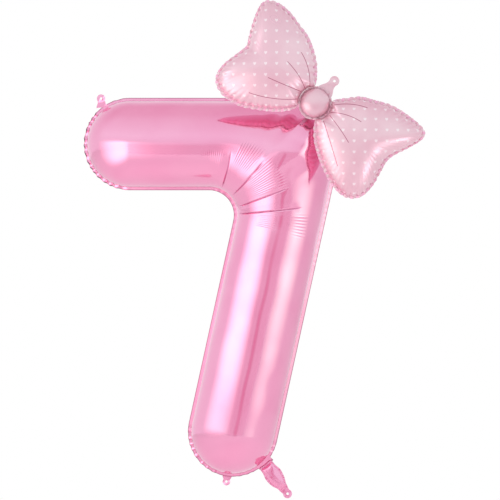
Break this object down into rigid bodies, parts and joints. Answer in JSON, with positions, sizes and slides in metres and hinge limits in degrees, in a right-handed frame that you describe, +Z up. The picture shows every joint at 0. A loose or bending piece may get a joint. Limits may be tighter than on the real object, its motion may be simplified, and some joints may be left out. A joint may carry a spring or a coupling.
{
  "type": "foil number balloon",
  "caption": "Inflated pink foil number seven balloon with eyelet tabs, a folding inflation neck and a small spotted bow balloon glued to its top corner.",
  "frame": {"origin": "centre of the eyelet in the top hanging tab, in the plane of the main seam", "axes": "+Z up, +X to the right along the arm of the seven as seen from the front, -Y out of the front film"},
  "size_m": [0.7613, 0.2906, 1.1172],
  "materials": {
    "pink_foil": "metallised pink film, mirror-like satin",
    "pearl_foil": "pearly dusty pink film printed with small white spots",
    "valve_film": "thin milky film",
    "clear_glue": "clear tacky gel"
  },
  "bodies": {
    "seven": {"seven_front_film": "pink_foil", "seven_back_film": "pink_foil", "outlet_valve_front_ply": "valve_film", "outlet_valve_back_ply": "valve_film"},
    "top_tab": {"top_hanging_tab": "pink_foil"},
    "bottom_tab": {"bottom_ribbon_tab": "pink_foil"},
    "neck": {"neck_front_film": "pink_foil", "neck_back_film": "pink_foil", "neck_valve_front_ply": "valve_film", "neck_valve_back_ply": "valve_film"},
    "neck_tip": {"neck_tip_tab": "pink_foil"},
    "bow_knot": {"bow_knot_front_film": "pearl_foil", "bow_knot_back_film": "pearl_foil", "bow_neck_outer_film": "pearl_foil", "bow_neck_inner_film": "pearl_foil", "bow_valve_outer_ply": "valve_film", "bow_valve_inner_ply": "valve_film", "glue_dots": "clear_glue"},
    "bow_tab": {"bow_hanging_tab": "pearl_foil"},
    "bow_left_loop": {"bow_left_loop_front_film": "pearl_foil", "bow_left_loop_back_film": "pearl_foil"},
    "bow_right_loop": {"bow_right_loop_front_film": "pearl_foil", "bow_right_loop_back_film": "pearl_foil"}
  },
  "joints": [
    {"name": "top_tab_fold", "type": "hinge", "parent": "seven", "child": "top_tab", "pos_m": [0.002, 0, -0.01843], "axis": [0.7986, 0, 0.6018], "range_deg": [-80, 80], "stiffness_Nm_per_rad": 0.0002},
    {"name": "bottom_tab_fold", "type": "hinge", "parent": "seven", "child": "bottom_tab", "pos_m": [0.28273, 0, -0.84896], "axis": [-0.9914, 0, 0.1305], "range_deg": [-80, 80], "stiffness_Nm_per_rad": 0.0002},
    {"name": "neck_fold", "type": "hinge", "parent": "seven", "child": "neck", "pos_m": [0.37105, 0, -0.82386], "axis": [-0.7986, 0, -0.6018], "range_deg": [-60, 60], "stiffness_Nm_per_rad": 0.001},
    {"name": "neck_tip_fold", "type": "hinge", "parent": "neck", "child": "neck_tip", "pos_m": [0.41149, 0, -0.87753], "axis": [-0.7986, 0, -0.6018], "range_deg": [-80, 80], "stiffness_Nm_per_rad": 0.0002},
    {"name": "bow_peel_off", "type": "slide", "parent": "seven", "child": "bow_knot", "axis": [0, -1, 0], "range_m": [0, 0.15]},
    {"name": "bow_tab_fold", "type": "hinge", "parent": "bow_knot", "child": "bow_tab", "pos_m": [0.50492, -0.123, 0.0164], "axis": [0.7501, 0, -0.6613], "range_deg": [-80, 80], "stiffness_Nm_per_rad": 0.0002},
    {"name": "bow_left_flap", "type": "hinge", "parent": "bow_knot", "child": "bow_left_loop", "pos_m": [0.4517, -0.123, 0.01107], "axis": [0.6613, 0, 0.7501], "range_deg": [-4, 15], "stiffness_Nm_per_rad": 0.02},
    {"name": "bow_right_flap", "type": "hinge", "parent": "bow_knot", "child": "bow_right_loop", "pos_m": [0.5063, -0.123, -0.03707], "axis": [-0.6613, 0, -0.7501], "range_deg": [-4, 15], "stiffness_Nm_per_rad": 0.02}
  ]
}
